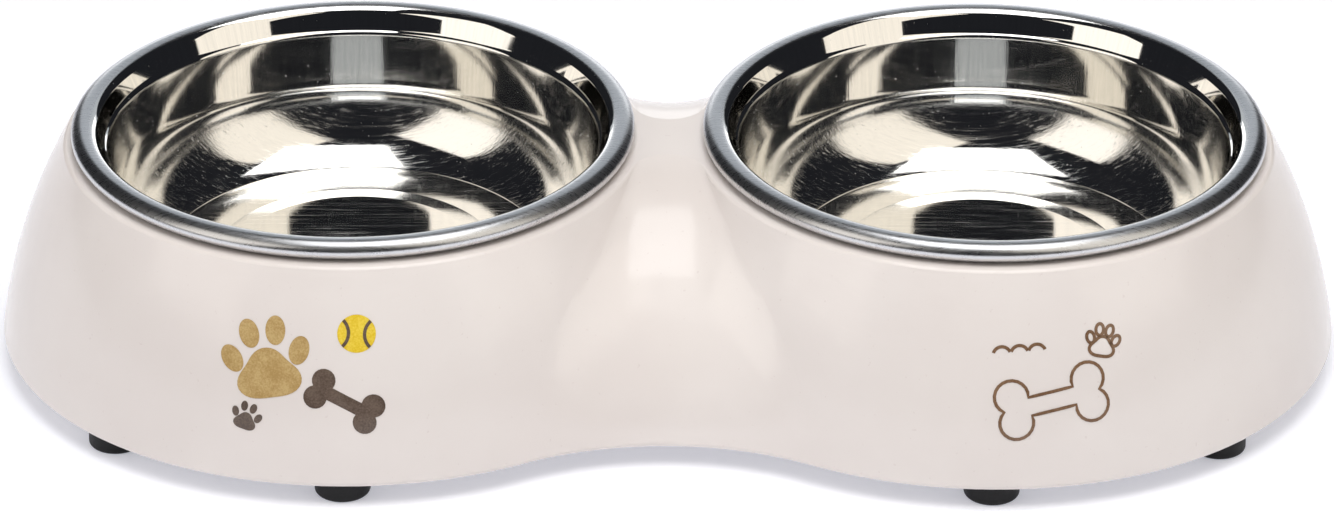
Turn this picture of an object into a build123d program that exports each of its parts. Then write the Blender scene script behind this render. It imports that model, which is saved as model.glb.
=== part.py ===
from build123d import *
import os
from math import asin, cos, degrees, radians, sin, sqrt, tan

os.makedirs("parts", exist_ok=True)

# A double pet bowl: a moulded stand with a waist, two lift-out steel bowls and push-in rubber feet.
# Millimetres, +Z up, the front towards -Y. The origin is on the table, midway between the bowls.

# Bowls: drawn steel sheet, with its edge rolled outwards into an oval bead
rim_radius = 70.0         # outside of the bead
bead_half_width = 3.4
bead_half_height = 2.5
bead_end_radius = 1.7     # at the two tight ends of the oval
curl_under_share = 0.6    # of the crown's turn: how far the sheet is rolled on under the bead
sheet = 0.8               # thickness of the steel
inside_bend = 0.4         # inside radius of the tightest bends
neck_lean = 20.0          # degrees that the neck under the bead leans outwards
neck_depth = 3.0          # from the bead's middle down to the ledge
ledge_width = 1.2
ledge_drop = 0.6          # across the ledge
wall_lean = 2.0           # degrees that the wall leans outwards
bowl_depth = 35.4         # from the bead's middle down to the floor's edge
floor_share = 0.777       # of the wall's radius: the edge of the floor
edge_rise = 24.0          # degrees that the round between floor and wall rises at that edge
floor_round_share = 0.97  # of the largest round that fits there
floor_sink = 0.2          # from the floor's edge down to the foot of the disc
disc_share = 0.642        # of the floor's radius: the disc pressed up out of it
disc_rise = 0.4
disc_slope_run = 5.0      # width of the slope around the disc

# Stand: one moulded shell, open underneath
stand_height = 50.75      # from its bottom edge to the flat that the beads rest on
stand_wall = 3.2
rim_gap = 16.9            # between the two beads
shoulder = 1.75           # how far the stand's top stands out past the beads
flank_radius = 144.5      # of the bulge that the round ends have from top to bottom
flank_lean = 7.9          # degrees that the flank leans in at the bottom edge
waist_half_depth = 68.1   # from the middle to the waist, along the bottom edge
arch_sink = 7.0           # the arch over the waist is an ellipse, centred this far below the edge
arch_crown = 0.6          # how far the ellipse would rise above the stand's flat top
section_steps = 10        # between the outlines that the moulding follows
edge_round = 1.0          # on the stand's outer edges
opening_gap = 0.5         # how much wider an opening is than the mouth of its bowl
seat_gap = 0.25           # below a bead at rest

# Feet: rubber buttons with a stem, each pushed into a boss inside the stand's wall
foot_radius = 6.8
foot_height = 5.6         # of the button, below the stand
foot_round = 1.2
foot_inset = 2.2          # from the stand's bottom edge to the button
stem_radius = 2.5
stem_length = 6.0
stem_gap = 0.1
boss_height = 9.0
foot_angles = {"front": -90.0, "front_outer": -45.0, "back_outer": 45.0, "back": 90.0}

overrun = 1.0             # past a face that a cut goes through

half_pitch = rim_radius + rim_gap / 2
seat_z = foot_height + stand_height
bead_z = seat_z + seat_gap + bead_half_height
mouth_radius = rim_radius - 2 * bead_half_width
opening_radius = mouth_radius + opening_gap

# The bead's oval: two tight ends and a flatter crown that meets them smoothly
end_offset = bead_half_width - bead_end_radius
end_rise = bead_half_height - bead_end_radius
crown_radius = (end_offset**2 + bead_half_height**2 - bead_end_radius**2) / (2 * end_rise)
end_turn = degrees(asin((crown_radius - bead_half_height) / (crown_radius - bead_end_radius)))
crown_turn = 180 - 2 * end_turn

top_radius = rim_radius + shoulder
bottom_angle = radians(flank_lean)
top_angle = asin(sin(bottom_angle) + stand_height / flank_radius)
bottom_radius = top_radius + flank_radius * (cos(bottom_angle) - cos(top_angle))

arch_rise = arch_sink + stand_height + arch_crown
arch_half_width = waist_half_depth / sqrt(1 - (arch_sink / arch_rise) ** 2)

foot_ring = bottom_radius - foot_inset - foot_radius


def stand_outline(height, inset):
    """The stand's outline above its bottom edge: two round ends, joined by hollow arcs at the waist."""
    flank_angle = asin(sin(bottom_angle) + height / flank_radius)
    end_radius = top_radius + flank_radius * (cos(flank_angle) - cos(top_angle)) - inset
    arch_share = (height + arch_sink) / (arch_rise - inset)
    waist = (arch_half_width - inset) * sqrt(1 - arch_share**2)
    hollow_radius = (half_pitch**2 + waist**2 - end_radius**2) / (2 * (end_radius - waist))
    end_share = end_radius / (end_radius + hollow_radius)
    join_x = half_pitch * (1 - end_share)
    join_y = (waist + hollow_radius) * end_share
    tip = half_pitch + end_radius
    with BuildSketch(Plane.XY.offset(foot_height + height)) as outline:
        with BuildLine():
            front = ThreePointArc((-join_x, -join_y), (0, -waist), (join_x, -join_y))
            right_front = TangentArc(front @ 1, (tip, 0), tangent=front % 1)
            right_back = TangentArc(right_front @ 1, (join_x, join_y), tangent=right_front % 1)
            back = TangentArc(right_back @ 1, (-join_x, join_y), tangent=right_back % 1)
            left_back = TangentArc(back @ 1, (-tip, 0), tangent=back % 1)
            TangentArc(left_back @ 1, front @ 0, tangent=left_back % 1)
        make_face()
    return outline.sketch


def stand_sections(inset, low, high):
    """Outlines from low to high, stepped evenly round the arch, so they crowd where it flattens."""
    rise = arch_rise - inset
    start = asin((low + arch_sink) / rise)
    step = (asin((high + arch_sink) / rise) - start) / section_steps
    return [stand_outline(rise * sin(start + step * i) - arch_sink, inset) for i in range(section_steps + 1)]


# Places of the feet under the two round ends, the left end being the right one's mirror image
foot_places = {}
for side, sign in (("left", -1), ("right", 1)):
    for where, angle in foot_angles.items():
        x = half_pitch + foot_ring * cos(radians(angle))
        y = foot_ring * sin(radians(angle))
        foot_places[f"{side}_{where}_foot"] = (sign * x, y, foot_height)

bowl_axes = {"left": Axis((-half_pitch, 0, 0), (0, 0, 1)), "right": Axis((half_pitch, 0, 0), (0, 0, 1))}

# The hollow inside the stand, with the bosses for the feet left standing in it
with BuildPart() as hollow:
    loft(sections=stand_sections(stand_wall, -overrun, stand_height - stand_wall))
    with Locations(*foot_places.values()):
        Cylinder(foot_radius, boss_height, align=(Align.CENTER, Align.CENTER, Align.MIN), mode=Mode.SUBTRACT)

# Stand
with BuildPart() as stand:
    loft(sections=stand_sections(0, 0, stand_height))
    fillet(stand.faces().sort_by(Axis.Z)[0].edges(), edge_round)
    fillet(stand.faces().sort_by(Axis.Z)[-1].edges(), edge_round)
    add(hollow.part, mode=Mode.SUBTRACT)
    with Locations(*[(axis.position.X, 0, seat_z) for axis in bowl_axes.values()]):
        Hole(opening_radius)
    fillet([wire.edge() for wire in stand.faces().sort_by(Axis.Z)[-1].inner_wires()], edge_round)
    with Locations(*foot_places.values()):
        Cylinder(
            stem_radius + stem_gap,
            stem_length + stem_gap,
            align=(Align.CENTER, Align.CENTER, Align.MIN),
            mode=Mode.SUBTRACT,
        )
stand.part.label = "stand"
export_step(stand.part, "parts/stand.step")

# The inside of a bowl, from the bead down: neck, ledge, wall, round, floor and raised disc
neck_angle = radians(neck_lean)
neck_top_radius = mouth_radius + bead_end_radius * (1 - cos(neck_angle))
neck_top_z = bead_z + bead_end_radius * sin(neck_angle)
ledge_z = bead_z - neck_depth
ledge_radius = neck_top_radius - (neck_top_z - ledge_z) * tan(neck_angle)
wall_radius = ledge_radius - ledge_width
wall_z = ledge_z - ledge_drop
floor_radius = floor_share * wall_radius
floor_z = bead_z - bowl_depth
disc_radius = disc_share * floor_radius
disc_foot_z = floor_z - floor_sink

# The corner that the round fills: where the wall would meet the slope that rises from the floor's edge
wall_slope = tan(radians(wall_lean))
edge_slope = tan(radians(edge_rise))
corner_run = (wall_radius - floor_radius - (wall_z - floor_z) * wall_slope) / (1 - wall_slope * edge_slope)
corner_z = floor_z + corner_run * edge_slope
round_turn = radians(90 - wall_lean - edge_rise)
floor_round = floor_round_share * corner_run / cos(radians(edge_rise)) / tan(round_turn / 2)

# Bowls
tight_bend = sheet + inside_bend
for side, axis in bowl_axes.items():
    with BuildPart() as bowl:
        with BuildSketch(Plane(axis.position, x_dir=(1, 0, 0), z_dir=(0, -1, 0))):
            with BuildLine():
                inner_face = FilletPolyline(
                    (0, disc_foot_z + disc_rise),
                    (disc_radius, disc_foot_z + disc_rise),
                    (disc_radius + disc_slope_run, disc_foot_z),
                    (floor_radius, floor_z),
                    (floor_radius + corner_run, corner_z),
                    (wall_radius, wall_z),
                    (ledge_radius, ledge_z),
                    (neck_top_radius, neck_top_z),
                    radius=[tight_bend, tight_bend, tight_bend, floor_round, tight_bend, tight_bend],
                )
                inner_end = JernArc(inner_face @ 1, inner_face % 1, bead_end_radius, neck_lean - end_turn)
                crown = JernArc(inner_end @ 1, inner_end % 1, crown_radius, -crown_turn)
                outer_end = JernArc(crown @ 1, crown % 1, bead_end_radius, -2 * end_turn)
                JernArc(outer_end @ 1, outer_end % 1, crown_radius, -curl_under_share * crown_turn)
                offset(amount=sheet, side=Side.RIGHT)
            make_face()
        revolve(axis=axis)
    bowl.part.label = f"{side}_bowl"
    export_step(bowl.part, f"parts/{side}_bowl.step")

# Feet
for name, place in foot_places.items():
    with BuildPart() as foot:
        with BuildSketch(Plane(place)):
            Circle(foot_radius)
        extrude(amount=-foot_height)
        fillet(foot.edges().sort_by(Axis.Z)[0], foot_round)
        with BuildSketch(Plane(place)):
            Circle(stem_radius)
        extrude(amount=stem_length)
    foot.part.label = name
    export_step(foot.part, f"parts/{name}.step")
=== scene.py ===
from math import asin, atan2, cos, pi, radians, sin, sqrt, tan

import bpy
from mathutils import Matrix, Vector
from mathutils.bvhtree import BVHTree
from mathutils.geometry import delaunay_2d_cdt


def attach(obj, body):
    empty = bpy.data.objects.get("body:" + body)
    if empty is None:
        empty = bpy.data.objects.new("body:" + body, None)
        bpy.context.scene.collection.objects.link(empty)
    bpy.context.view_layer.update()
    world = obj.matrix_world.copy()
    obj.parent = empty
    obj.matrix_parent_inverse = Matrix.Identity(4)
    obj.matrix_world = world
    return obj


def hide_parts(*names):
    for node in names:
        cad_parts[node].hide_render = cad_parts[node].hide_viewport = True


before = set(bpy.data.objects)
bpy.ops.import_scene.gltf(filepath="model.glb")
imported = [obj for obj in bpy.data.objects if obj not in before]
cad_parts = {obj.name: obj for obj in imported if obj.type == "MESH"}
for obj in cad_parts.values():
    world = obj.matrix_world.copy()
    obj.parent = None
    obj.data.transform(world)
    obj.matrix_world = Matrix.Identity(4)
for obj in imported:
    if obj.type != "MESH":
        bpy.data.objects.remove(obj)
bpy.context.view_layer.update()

# Metres, in the CAD model's own frame: the table is z = 0 and the front looks towards -Y.
BOWL_X = {"left_bowl": -0.07845, "right_bowl": 0.07845}
BEAD_Z = 0.0591           # middle of the rolled bead
MIDDLE = Vector((0, 0, BEAD_Z))

# Bowls, as in the CAD model but for a neck that leans out more over a steeper ledge, for a thinner highlight
SHEET = 0.0008
RIM_RADIUS = 0.070
BEAD_HALF_WIDTH = 0.0034
BEAD_HALF_HEIGHT = 0.0025
BEAD_END_RADIUS = 0.0017
CURL_UNDER_SHARE = 0.6    # of the crown's turn
TIGHT_BEND = 0.0012
NECK_ANGLE = radians(22.0)
NECK_DEPTH = 0.003
LEDGE_WIDTH = 0.00095
LEDGE_DROP = 0.00072
WALL_ANGLE = radians(2.0)
BOWL_DEPTH = 0.0354
FLOOR_SHARE = 0.777
EDGE_ANGLE = radians(24.0)
FLOOR_ROUND_SHARE = 0.97
FLOOR_SINK = 0.0002
DISC_SHARE = 0.642
DISC_RISE = 0.0004
DISC_SLOPE_RUN = 0.005
MOUTH_RADIUS = RIM_RADIUS - 2 * BEAD_HALF_WIDTH
LEDGE_Z = BEAD_Z - NECK_DEPTH
WALL_FOOT_RADIUS = 0.0603 # just below where the wall begins to round in
BOWL_STEPS = 180          # round a bowl
BEND_STEPS = 8            # along a bend of its profile

# Camera, as fitted to the photograph
IMAGE_WIDTH = 1334        # pixels
FOCAL_LENGTH = 6573.3     # pixels
CAMERA_DISTANCE = 1.6342  # from the point midway between the beads
CAMERA_X = -0.0003
CAMERA_HEIGHT_ANGLE = 26.238  # degrees, like the next two
CAMERA_PITCH = 27.36
CAMERA_ROLL = 0.278

# Noise textures: the range that most of their values fall in, and the specks made of their few highest ones
NOISE_LOW = 0.3
NOISE_HIGH = 0.7
SPECK_EDGE = 0.06         # of the noise's value, over which a speck fades in
SPECK_STRENGTH = 0.3

# Steel: colours from the deepest to the palest mark, and the radii or heights between which a finish fades in
POLISHED = ((0.82, 0.81, 0.785, 1.0), (0.93, 0.917, 0.887, 1.0))
SATIN = ((0.59, 0.595, 0.61, 1.0), (0.71, 0.715, 0.73, 1.0))
BEAD_FADE = (MOUTH_RADIUS + 0.0012, MOUTH_RADIUS + 0.0022)
NECK_FADE = (LEDGE_Z - 0.0011, LEDGE_Z - 0.0003)
ROUND_FADE = (WALL_FOOT_RADIUS - 0.006, WALL_FOOT_RADIUS - 0.002)
FLOOR_FADE = (WALL_FOOT_RADIUS - 0.0015, WALL_FOOT_RADIUS)
NECK_ROUGH = 0.04
WALL_ROUGH = (0.03, 0.075)
FLOOR_ROUGH = (0.05, 0.28)
ROUND_ROUGH = 0.07        # added to the floor's
BEAD_ROUGH = (0.25, 0.33)
NECK_RELIEF = 0.2         # depth of the marks
WALL_RELIEF = 0.8
FLOOR_RELIEF = 0.8
ROUND_RELIEF = 3.0

# Floor and lights: a brightness of 1 is white on screen
FLOOR_HALF = 3.0
FLOOR_GLOW = 0.40
FLOOR_GLOW_TINT = (0.89, 0.91, 1.0, 1.0)
WHITE = (1.0, 1.0, 1.0)
WARM_LEFT = (1.0, 0.94, 0.86)
WARM_RIGHT = (1.0, 0.93, 0.82)
COOL = (0.88, 0.94, 1.0)
ROOM = (0.013, 0.014, 0.017, 1.0)
SIDE_DISTANCE = 1.5
FILL_DISTANCE = 2.0
FILL_SIZE = (1.8, 1.1)
FILLS = (                 # name, azimuth, elevation, brightness
    ("fill_front", 0, 24, 0.1),
    ("fill_left", -85, 24, 0.65),
    ("fill_back", 180, 12, 1.5),
    ("fill_right", 85, 24, 0.2),
)

# Prints on the stand's front
INK_LIFT = 0.00008        # above the moulding
INK_GRID = 0.0018         # between the points inside a printed shape
LINE_WIDTH = 0.0008
LAY_START = 0.05          # how far out of the wall a print is laid from


def new_material(name):
    """A material with a Principled shader; returns it with its node tree and that shader."""
    material = bpy.data.materials.new(name)
    material.use_nodes = True
    tree = material.node_tree
    return material, tree, tree.nodes["Principled BSDF"]


def add_node(tree, kind, inputs=None, **settings):
    """Adds a shader node; inputs maps a socket to a constant or to another node's output."""
    node = tree.nodes.new(kind)
    for key, value in settings.items():
        setattr(node, key, value)
    for socket, value in (inputs or {}).items():
        if isinstance(value, bpy.types.NodeSocket):
            tree.links.new(value, node.inputs[socket])
        else:
            node.inputs[socket].default_value = value
    return node


def calc(tree, operation, first, second=0.0):
    return add_node(tree, "ShaderNodeMath", {0: first, 1: second}, operation=operation).outputs[0]


def spread(tree, value, low, high, to_low, to_high):
    """Maps a value's range low..high onto to_low..to_high, held at both ends."""
    inputs = {"Value": value, "From Min": low, "From Max": high, "To Min": to_low, "To Max": to_high}
    return add_node(tree, "ShaderNodeMapRange", inputs).outputs[0]


def noise(tree, vector, scale, detail=2.0, roughness=0.5):
    inputs = {"Vector": vector, "Scale": scale, "Detail": detail, "Roughness": roughness}
    return add_node(tree, "ShaderNodeTexNoise", inputs).outputs["Fac"]


def swing(tree, marks, to_low, to_high):
    """Maps the usual range of a noise onto to_low..to_high."""
    return spread(tree, marks, NOISE_LOW, NOISE_HIGH, to_low, to_high)


def specks(tree, vector, scale, start):
    """Small specks where a noise is higher than start."""
    return spread(tree, noise(tree, vector, scale, 1.0), start, start + SPECK_EDGE, 0.0, SPECK_STRENGTH)


def mix(tree, factor, first, second):
    return add_node(tree, "ShaderNodeMix", {"Factor": factor, 2: first, 3: second}).outputs[0]


def mix_colours(tree, factor, first, second):
    inputs = {"Factor": factor, 6: first, 7: second}
    return add_node(tree, "ShaderNodeMix", inputs, data_type="RGBA").outputs[2]


def colour(red, green, blue):
    """A colour given as on screen, as the linear light that shaders take."""
    shares = (red / 255, green / 255, blue / 255)
    linear = [c / 12.92 if c <= 0.04045 else ((c + 0.055) / 1.055) ** 2.4 for c in shares]
    return (*linear, 1.0)


def object_place(tree):
    return add_node(tree, "ShaderNodeTexCoord").outputs["Object"]


def bump(tree, shader, height, strength, distance):
    inputs = {"Height": height, "Strength": strength, "Distance": distance}
    tree.links.new(add_node(tree, "ShaderNodeBump", inputs).outputs[0], shader.inputs["Normal"])


def melamine():
    """Glossy moulded melamine: pale pink, faintly clouded, with resin specks and a slightly uneven gloss."""
    material, tree, shader = new_material("melamine_moulded")
    place = object_place(tree)
    cloud = spread(tree, noise(tree, place, 22.0, 3.0), 0.35, 0.65, 0.0, 1.0)
    tone = mix_colours(tree, cloud, colour(229, 221, 217), colour(234, 227, 223))
    speckled = mix_colours(tree, specks(tree, place, 900.0, 0.74), tone, colour(208, 194, 190))
    tree.links.new(speckled, shader.inputs["Base Color"])
    ripple = noise(tree, place, 120.0, 2.0)
    tree.links.new(swing(tree, ripple, 0.13, 0.19), shader.inputs["Roughness"])
    bump(tree, shader, ripple, 0.2, 0.00004)
    return material


def steel_place(tree, centre_x):
    """A point of a bowl, measured from the bowl's axis: the vector, and its radius, turn and height."""
    from_axis = {0: object_place(tree), 1: (centre_x, 0.0, 0.0)}
    local = add_node(tree, "ShaderNodeVectorMath", from_axis, operation="SUBTRACT").outputs[0]
    x, y, z = add_node(tree, "ShaderNodeSeparateXYZ", {0: local}).outputs
    squares = calc(tree, "ADD", calc(tree, "MULTIPLY", x, x), calc(tree, "MULTIPLY", y, y))
    return local, calc(tree, "SQRT", squares), calc(tree, "ARCTAN2", y, x), z


def steel_marks(tree, local, turn, z, grain_turn):
    """Two lays of fine marks: down the wall, and the rolled sheet's straight grain."""
    wall_inputs = {0: turn, 2: calc(tree, "MULTIPLY", z, 0.8)}
    wall_place = add_node(tree, "ShaderNodeCombineXYZ", wall_inputs).outputs[0]
    sheet_inputs = {"Vector": local, "Rotation": (0.0, 0.0, grain_turn), "Scale": (0.02, 1.0, 0.3)}
    sheet_place = add_node(tree, "ShaderNodeMapping", sheet_inputs).outputs[0]
    return noise(tree, wall_place, 70.0, 3.0, 0.65), noise(tree, sheet_place, 2400.0, 3.0, 0.7)


def steel(centre_x, grain_turn):
    """Drawn stainless steel: a polished wall, and straight grain on the floor and the satin bead."""
    material, tree, shader = new_material("steel_drawn")
    local, radius, turn, z = steel_place(tree, centre_x)
    wall_marks, grain = steel_marks(tree, local, turn, z, grain_turn)
    on_bead = spread(tree, radius, *BEAD_FADE, 0.0, 1.0)
    on_wall = spread(tree, z, *NECK_FADE, 1.0, 0.0)
    on_round = spread(tree, radius, *ROUND_FADE, 0.0, 1.0)
    on_floor = spread(tree, radius, *FLOOR_FADE, 1.0, 0.0)

    wall_rough = mix(tree, on_wall, NECK_ROUGH, swing(tree, wall_marks, *WALL_ROUGH))
    round_rough = calc(tree, "MULTIPLY", on_round, ROUND_ROUGH)
    floor_rough = calc(tree, "ADD", spread(tree, grain, 0.50, 0.72, *FLOOR_ROUGH), round_rough)
    inside_rough = mix(tree, on_floor, wall_rough, floor_rough)
    rough = mix(tree, on_bead, inside_rough, swing(tree, grain, *BEAD_ROUGH))
    dust = specks(tree, local, 1500.0, 0.75)
    tree.links.new(calc(tree, "ADD", rough, dust), shader.inputs["Roughness"])

    marks = mix(tree, calc(tree, "MAXIMUM", on_bead, on_floor), wall_marks, grain)
    shade = spread(tree, marks, 0.25, 0.75, 0.0, 1.0)
    polished = mix_colours(tree, shade, *POLISHED)
    satin = mix_colours(tree, shade, *SATIN)
    tree.links.new(mix_colours(tree, on_bead, polished, satin), shader.inputs["Base Color"])
    shader.inputs["Metallic"].default_value = 1.0
    wall_relief = mix(tree, on_wall, NECK_RELIEF, WALL_RELIEF)
    floor_relief = mix(tree, on_round, FLOOR_RELIEF, ROUND_RELIEF)
    relief = mix(tree, on_floor, wall_relief, floor_relief)
    bump(tree, shader, calc(tree, "MULTIPLY", marks, relief), 0.30, 0.00003)
    return material


def rubber():
    """Satin black rubber with a fine moulded grain."""
    material, tree, shader = new_material("rubber_black")
    grain = noise(tree, object_place(tree), 1500.0, 2.0)
    tone = mix_colours(tree, swing(tree, grain, 0.0, 1.0), colour(12, 12, 13), colour(24, 24, 26))
    tree.links.new(tone, shader.inputs["Base Color"])
    tree.links.new(swing(tree, grain, 0.45, 0.6), shader.inputs["Roughness"])
    shader.inputs["Specular IOR Level"].default_value = 0.3
    bump(tree, shader, grain, 0.4, 0.00008)
    return material


def ink(name, deep, pale):
    """Printed ink: mottled between two tones, and glazed over like the moulding."""
    material, tree, shader = new_material(name)
    place = object_place(tree)
    mottle = calc(tree, "ADD", noise(tree, place, 260.0, 3.0), noise(tree, place, 2200.0, 1.0))
    tone = mix_colours(tree, spread(tree, mottle, 0.75, 1.25, 0.0, 1.0), colour(*deep), colour(*pale))
    tree.links.new(tone, shader.inputs["Base Color"])
    tree.links.new(swing(tree, noise(tree, place, 120.0), 0.12, 0.18), shader.inputs["Roughness"])
    return material


def floor_material():
    """A pale table that glows a little, so that it looks white and the shadows on it stay pale."""
    material, tree, shader = new_material("floor_white")
    cloud = noise(tree, object_place(tree), 3.0)
    tone = mix_colours(tree, cloud, colour(216, 216, 219), colour(219, 219, 222))
    tree.links.new(tone, shader.inputs["Base Color"])
    shader.inputs["Roughness"].default_value = 0.9
    shader.inputs["Specular IOR Level"].default_value = 0.1
    shader.inputs["Emission Color"].default_value = FLOOR_GLOW_TINT
    shader.inputs["Emission Strength"].default_value = FLOOR_GLOW
    return material


def give_material(node, material):
    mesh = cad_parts[node].data
    mesh.materials.clear()
    mesh.materials.append(material)


def dress_nodes():
    give_material("stand", melamine())
    for bowl, grain_turn in (("left_bowl", 0.06), ("right_bowl", 0.75)):
        add_bowl(bowl, steel(BOWL_X[bowl], grain_turn))
    black = rubber()
    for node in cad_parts:
        if node.endswith("_foot"):
            give_material(node, black)


def add_object(name, data):
    thing = bpy.data.objects.new(name, data)
    bpy.context.scene.collection.objects.link(thing)
    return thing


class Profile:
    """A line drawn in the plane of a bowl's radius and height, with the normal on its left at each point."""

    def __init__(self, corners, radii):
        """Starts along straight lines, with the corners between them rounded off."""
        self.points = [corners[0]]
        self.heading = atan2(*reversed(corners[1] - corners[0]))
        self.normals = [self.left()]
        for before, corner, after, radius in zip(corners, corners[1:], corners[2:], radii):
            turn = atan2(*reversed(after - corner)) - self.heading
            self.line_to(corner + (before - corner).normalized() * radius * tan(abs(turn) / 2))
            self.bend(radius, turn)
        self.line_to(corners[-1])

    def left(self):
        return Vector((-sin(self.heading), cos(self.heading)))

    def line_to(self, point):
        self.points.append(point)
        self.normals.append(self.left())

    def bend(self, radius, turn):
        """Goes on round an arc; a positive turn is to the left."""
        reach = radius if turn > 0 else -radius
        centre = self.points[-1] + self.left() * reach
        for _ in range(BEND_STEPS):
            self.heading += turn / BEND_STEPS
            self.line_to(centre - self.left() * reach)


def roll_bead(profile):
    """Rolls a profile on into the oval bead: two tight ends, and a flatter crown that meets them smoothly."""
    end_rise = BEAD_HALF_HEIGHT - BEAD_END_RADIUS
    end_offset = BEAD_HALF_WIDTH - BEAD_END_RADIUS
    crown_radius = (end_offset**2 + BEAD_HALF_HEIGHT**2 - BEAD_END_RADIUS**2) / (2 * end_rise)
    end_turn = asin((crown_radius - BEAD_HALF_HEIGHT) / (crown_radius - BEAD_END_RADIUS))
    crown_turn = pi - 2 * end_turn
    profile.bend(BEAD_END_RADIUS, NECK_ANGLE - end_turn)
    profile.bend(crown_radius, -crown_turn)
    profile.bend(BEAD_END_RADIUS, -2 * end_turn)
    profile.bend(crown_radius, -CURL_UNDER_SHARE * crown_turn)


def bowl_profile():
    """The inside of a bowl from its axis outwards: disc, floor, round, wall, ledge, neck and rolled bead."""
    neck_top = Vector((
        MOUTH_RADIUS + BEAD_END_RADIUS * (1 - cos(NECK_ANGLE)),
        BEAD_Z + BEAD_END_RADIUS * sin(NECK_ANGLE),
    ))
    ledge = Vector((neck_top.x - (neck_top.y - LEDGE_Z) * tan(NECK_ANGLE), LEDGE_Z))
    wall_top = ledge - Vector((LEDGE_WIDTH, LEDGE_DROP))
    floor_edge = Vector((FLOOR_SHARE * wall_top.x, BEAD_Z - BOWL_DEPTH))
    disc_foot_z = floor_edge.y - FLOOR_SINK
    disc_radius = DISC_SHARE * floor_edge.x

    wall_slope, edge_slope = tan(WALL_ANGLE), tan(EDGE_ANGLE)
    across = wall_top - floor_edge
    corner_run = (across.x - across.y * wall_slope) / (1 - wall_slope * edge_slope)
    round_turn = pi / 2 - WALL_ANGLE - EDGE_ANGLE
    floor_round = FLOOR_ROUND_SHARE * corner_run / cos(EDGE_ANGLE) / tan(round_turn / 2)
    corners = [
        Vector((0, disc_foot_z + DISC_RISE)),
        Vector((disc_radius, disc_foot_z + DISC_RISE)),
        Vector((disc_radius + DISC_SLOPE_RUN, disc_foot_z)),
        floor_edge,
        floor_edge + Vector((corner_run, corner_run * edge_slope)),
        wall_top,
        ledge,
        neck_top,
    ]
    profile = Profile(corners, [TIGHT_BEND] * 3 + [floor_round] + [TIGHT_BEND] * 2)
    roll_bead(profile)
    return profile


def bowl_mesh(name, centre_x):
    """A bowl turned from its profile, with the profile's own normals all round."""
    profile = bowl_profile()
    inside = list(zip(profile.points, profile.normals))
    outside = [(point - normal * SHEET, -normal) for point, normal in reversed(inside)]
    section = inside[1:] + outside[:-1]
    count = len(section)
    points, normals, faces = [], [], []
    for step in range(BOWL_STEPS):
        c, s = cos(2 * pi * step / BOWL_STEPS), sin(2 * pi * step / BOWL_STEPS)
        points += [(centre_x + c * point.x, s * point.x, point.y) for point, _ in section]
        normals += [(c * normal.x, s * normal.x, normal.y) for _, normal in section]
    top, bottom = len(points), len(points) + 1
    points += [(centre_x, 0, inside[0][0].y), (centre_x, 0, outside[-1][0].y)]
    normals += [(0, 0, 1), (0, 0, -1)]
    for step in range(BOWL_STEPS):
        a, b = count * step, count * ((step + 1) % BOWL_STEPS)
        faces += [(a + i, a + i + 1, b + i + 1, b + i) for i in range(count - 1)]
        faces += [(top, a, b), (bottom, b + count - 1, a + count - 1)]
    mesh = bpy.data.meshes.new(name)
    mesh.from_pydata(points, [], faces)
    mesh.shade_smooth()
    mesh.normals_split_custom_set_from_vertices(normals)
    return mesh


def add_bowl(node, material):
    """Puts a turned bowl in a node's place, as a mirror-like inside needs true normals all over."""
    mesh = bowl_mesh(node + "_turned", BOWL_X[node])
    mesh.materials.append(material)
    piece = add_object(node + "_turned", mesh)
    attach(piece, node)
    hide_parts(node)


def turned(point, turn, centre):
    """A point of a print, turned by so many degrees and moved to its centre."""
    c, s = cos(radians(turn)), sin(radians(turn))
    return centre[0] + c * point[0] - s * point[1], centre[1] + s * point[0] + c * point[1]


def ellipse(centre, half_width, half_height, turn=0.0, steps=32):
    angles = [2 * pi * i / steps for i in range(steps)]
    return [turned((half_width * cos(a), half_height * sin(a)), turn, centre) for a in angles]


def pad(centre, size, turn, steps=42):
    """A paw's main pad: a round three-cornered shape, wider below."""
    outline = []
    for i in range(steps):
        a = 2 * pi * i / steps
        reach = size * (1 - 0.13 * cos(3 * (a + pi / 2)) - 0.10 * sin(a))
        outline.append(turned((reach * cos(a), 0.82 * reach * sin(a)), turn, centre))
    return outline


def paw(centre, size, turn):
    """A main pad and four toes above it."""
    toes = ((-1.12, 0.62, 24), (-0.44, 1.36, 8), (0.44, 1.36, -8), (1.12, 0.62, -24))
    outlines = [pad(centre, size, turn)]
    for across, above, lean in toes:
        toe = turned((across * size, above * size), turn, centre)
        outlines.append(ellipse(toe, 0.33 * size, 0.48 * size, turn + lean))
    return outlines


def bone(centre, length, turn, steps=14):
    """A bone: a bar with two round lobes at each end."""
    lobe = length * 0.15
    lobe_up = lobe * 0.8
    lobe_out = length / 2 - lobe
    bar_half = length * 0.085
    notch = atan2(-lobe_up, sqrt(lobe**2 - lobe_up**2))
    joint = pi + atan2(lobe_up - bar_half, sqrt(lobe**2 - (lobe_up - bar_half) ** 2))
    angles = [notch + (joint - notch) * i / steps for i in range(steps + 1)]
    quarter = [(lobe_out + lobe * cos(a), lobe_up + lobe * sin(a)) for a in angles]
    half = quarter + [(-x, y) for x, y in reversed(quarter)]
    whole = half[:-1] + [(-x, -y) for x, y in half[:-1]]
    return [turned(point, turn, centre) for point in whole]


def arc(centre, radius, start, end, steps=16):
    angles = [radians(start + (end - start) * i / steps) for i in range(steps + 1)]
    return [(centre[0] + radius * cos(a), centre[1] + radius * sin(a)) for a in angles]


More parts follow.
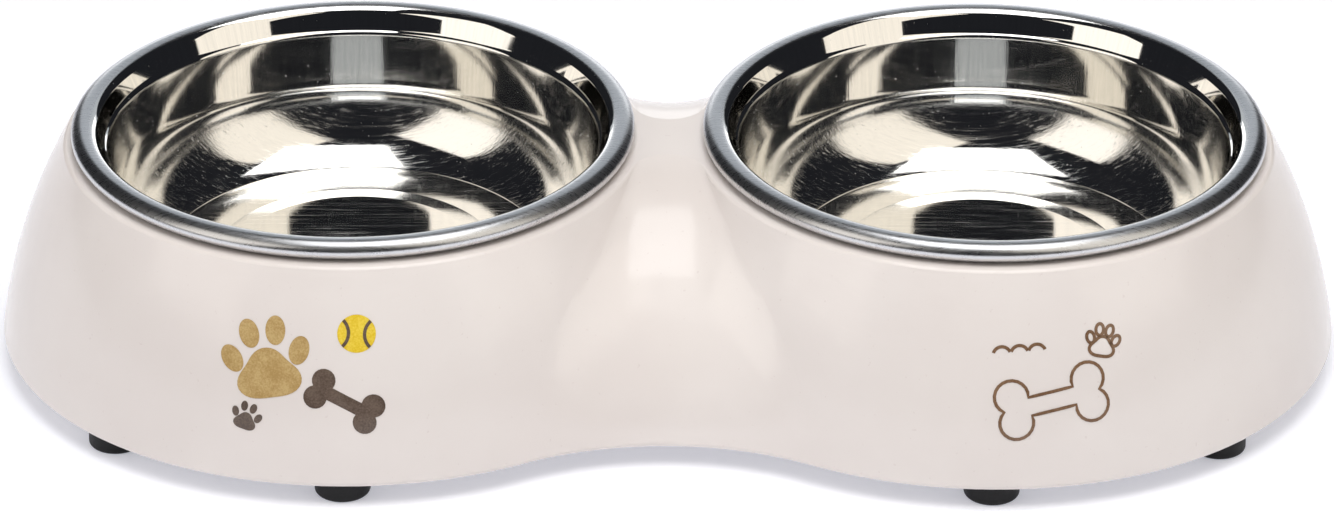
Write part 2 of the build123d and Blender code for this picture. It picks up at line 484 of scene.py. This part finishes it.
def fill(outline):
    """Triangles that fill an outline, with inner points so that they follow the curved wall."""
    rim = [Vector(point) for point in outline]
    low_x, high_x = min(p.x for p in rim), max(p.x for p in rim)
    low_y, high_y = min(p.y for p in rim), max(p.y for p in rim)
    across = range(1, int((high_x - low_x) / INK_GRID) + 1)
    along = range(1, int((high_y - low_y) / INK_GRID) + 1)
    inner = [Vector((low_x + INK_GRID * i, low_y + INK_GRID * j)) for i in across for j in along]
    border = [list(range(len(rim)))]
    points, _, faces, *_ = delaunay_2d_cdt(rim + inner, [], border, 1, 1e-7)
    used = sorted({corner for face in faces for corner in face})
    place = {corner: i for i, corner in enumerate(used)}
    return [points[corner] for corner in used], [[place[corner] for corner in face] for face in faces]


def stroke(line, closed):
    """A strip of even width along a line of points, with more points put in where they are far apart."""
    ends = list(zip(line, line[1:] + line[:1] if closed else line[1:]))
    fine = []
    for a, b in ends:
        parts = int((Vector(b) - Vector(a)).length / INK_GRID) + 1
        fine += [Vector(a).lerp(Vector(b), i / parts) for i in range(parts)]
    line = fine if closed else fine + [Vector(line[-1])]
    count = len(line)
    points = []
    for i in range(count):
        before = line[i - 1] if closed or i > 0 else line[i]
        after = line[(i + 1) % count] if closed or i < count - 1 else line[i]
        along = Vector((after[0] - before[0], after[1] - before[1])).normalized()
        aside = Vector((-along.y, along.x)) * LINE_WIDTH / 2
        points += [Vector(line[i]) + aside, Vector(line[i]) - aside]
    last = count if closed else count - 1
    corners = [(2 * i, 2 * i + 1, 2 * ((i + 1) % count) + 1, 2 * ((i + 1) % count)) for i in range(last)]
    return points, corners


class PrintPlace:
    """A place on the stand's front, seen along its middle's normal."""

    def __init__(self, x, z):
        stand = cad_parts["stand"]
        corners = [stand.matrix_world @ vertex.co for vertex in stand.data.vertices]
        self.wall = BVHTree.FromPolygons(corners, [face.vertices for face in stand.data.polygons])
        self.origin, self.out, *_ = self.wall.ray_cast(Vector((x, -1, z)), Vector((0, 1, 0)))
        self.right = Vector((-self.out.y, self.out.x, 0)).normalized()
        self.up = self.out.cross(self.right)

    def lay(self, point, lift):
        """A flat point, laid just above the curved wall."""
        start = self.origin + self.right * point[0] + self.up * point[1] + self.out * LAY_START
        place, normal, *_ = self.wall.ray_cast(start, -self.out)
        return place + normal * lift

    def print(self, name, shapes, material, lift=INK_LIFT):
        """Makes one printed piece of several flat shapes, each a list of points and a list of faces."""
        points, faces = [], []
        for flat_points, flat_faces in shapes:
            first = len(points)
            points += [self.lay(point, lift) for point in flat_points]
            faces += [[first + corner for corner in face] for face in flat_faces]
        mesh = bpy.data.meshes.new(name)
        mesh.from_pydata(points, [], faces)
        mesh.shade_smooth()
        mesh.materials.append(material)
        piece = add_object(name, mesh)
        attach(piece, "stand")


def add_prints():
    """Generic motifs in the prints' two places: filled ones on the left, line drawings on the right."""
    tan_ink = ink("ink_tan", (176, 145, 92), (200, 172, 120))
    taupe_ink = ink("ink_taupe", (88, 74, 66), (112, 97, 86))
    yellow_ink = ink("ink_yellow", (226, 190, 44), (242, 214, 82))
    brown_ink = ink("ink_brown", (112, 84, 62), (138, 108, 84))

    left = PrintPlace(-0.0872, 0.0355)
    left.print("print_paw_large", [fill(o) for o in paw((-0.0085, -0.003), 0.0074, 10)], tan_ink)
    left.print("print_bone", [fill(bone((0.0100, -0.0090), 0.019, -26))], taupe_ink)
    left.print("print_paw_small", [fill(o) for o in paw((-0.0140, -0.0150), 0.0026, -16)], taupe_ink)
    ball = (0.0125, 0.0075)
    left.print("print_ball", [fill(ellipse(ball, 0.0046, 0.0046))], yellow_ink)
    left_seam = arc((ball[0] - 0.0062, ball[1]), 0.0043, -47, 47)
    right_seam = arc((ball[0] + 0.0062, ball[1]), 0.0043, 133, 227)
    seams = [stroke(left_seam, False), stroke(right_seam, False)]
    left.print("print_ball_seams", seams, taupe_ink, 2 * INK_LIFT)

    right = PrintPlace(0.0939, 0.0320)
    right.print("print_bone_line", [stroke(bone((-0.0020, -0.0050), 0.027, 9), True)], brown_ink)
    right.print("print_paw_line", [stroke(o, True) for o in paw((0.0110, 0.0070), 0.0029, -14)], brown_ink)
    waves = [stroke(arc((-0.0135 + 0.0042 * i, 0.0070), 0.0021, 20, 160), False) for i in range(3)]
    right.print("print_waves_line", waves, brown_ink)


def add_floor():
    mesh = bpy.data.meshes.new("floor")
    signs = ((-1, -1), (1, -1), (1, 1), (-1, 1))
    mesh.from_pydata([(x * FLOOR_HALF, y * FLOOR_HALF, 0) for x, y in signs], [], [(0, 1, 2, 3)])
    mesh.materials.append(floor_material())
    add_object("floor", mesh)


def from_middle(azimuth, elevation, distance):
    """A point seen from the object's middle; azimuth 0 is the front and grows to the right."""
    a, e = radians(azimuth), radians(elevation)
    return Vector((sin(a) * cos(e), -cos(a) * cos(e), sin(e))) * distance + MIDDLE


def add_softbox(name, place, towards, size, brightness, tint):
    """A rectangular light of even brightness."""
    light = bpy.data.lights.new(name, "AREA")
    light.shape = "RECTANGLE"
    light.size, light.size_y = size
    light.energy = brightness * pi * light.size * light.size_y
    light.color = tint
    thing = add_object(name, light)
    thing.location = place
    thing.rotation_euler = (place - towards).to_track_quat("Z", "Y").to_euler()
    return thing


def add_lights():
    """A softbox on each side, one overhead, and a sheet behind that is brightest at its foot."""
    left, right = from_middle(-59, 34, SIDE_DISTANCE), from_middle(58, 40, SIDE_DISTANCE)
    add_softbox("softbox_left", left, MIDDLE, (0.97, 1.3), 1.25, WARM_LEFT)
    add_softbox("softbox_right", right, MIDDLE, (1.09, 1.75), 1.05, WARM_RIGHT)
    overhead = Vector((0.12, 0.03, 1.45))
    below = overhead * Vector((1, 1, 0))
    mirrored = add_softbox("softbox_top", overhead, below, (0.92, 0.88), 2.6, WHITE)
    mirrored.visible_diffuse = False  # it shows in reflections only, and fill_top lights in its stead
    behind = Vector((0.0, 1.7, 1.0))
    add_softbox("sheet_back", behind, behind * Vector((1, 0, 1)), (1.5, 1.8), 0.56, COOL)
    low = Vector((0.0, 1.65, 0.25))
    add_softbox("sheet_foot", low, low * Vector((1, 0, 1)), (1.3, 0.4), 1.1, WHITE)


def add_fills():
    """Lights from above and all round that don't show in reflections."""
    above = Vector((0.06, -0.38, 1.48))
    fills = [add_softbox("fill_top", above, above * Vector((1, 0.2, 0)), (0.96, 1.07), 5.5, WHITE)]
    for name, azimuth, elevation, brightness in FILLS:
        place = from_middle(azimuth, elevation, FILL_DISTANCE)
        fills.append(add_softbox(name, place, MIDDLE, FILL_SIZE, brightness, WHITE))
    for thing in fills:
        thing.visible_glossy = False


def add_room():
    world = bpy.data.worlds.new("studio")
    world.use_nodes = True
    world.node_tree.nodes["Background"].inputs["Color"].default_value = ROOM
    bpy.context.scene.world = world
    bpy.context.scene.view_settings.view_transform = "Standard"


def add_camera():
    up_angle, pitch, roll = radians(CAMERA_HEIGHT_ANGLE), radians(CAMERA_PITCH), radians(CAMERA_ROLL)
    ahead = Vector((0, cos(pitch), -sin(pitch)))
    level_up = Vector((0, sin(pitch), cos(pitch)))
    right = Vector((cos(roll), 0, 0)) + level_up * sin(roll)
    up = level_up * cos(roll) - Vector((sin(roll), 0, 0))
    turn = Matrix((right, up, -ahead)).transposed().to_4x4()
    back = Vector((CAMERA_X, -cos(up_angle) * CAMERA_DISTANCE, sin(up_angle) * CAMERA_DISTANCE))
    camera = bpy.data.cameras.new("camera")
    camera.sensor_width = 36.0
    camera.lens = FOCAL_LENGTH / IMAGE_WIDTH * camera.sensor_width
    camera.clip_end = 20.0
    thing = add_object("camera", camera)
    thing.matrix_world = Matrix.Translation(MIDDLE + back) @ turn
    bpy.context.scene.camera = thing


dress_nodes()
add_prints()
add_floor()
add_lights()
add_fills()
add_room()
add_camera()
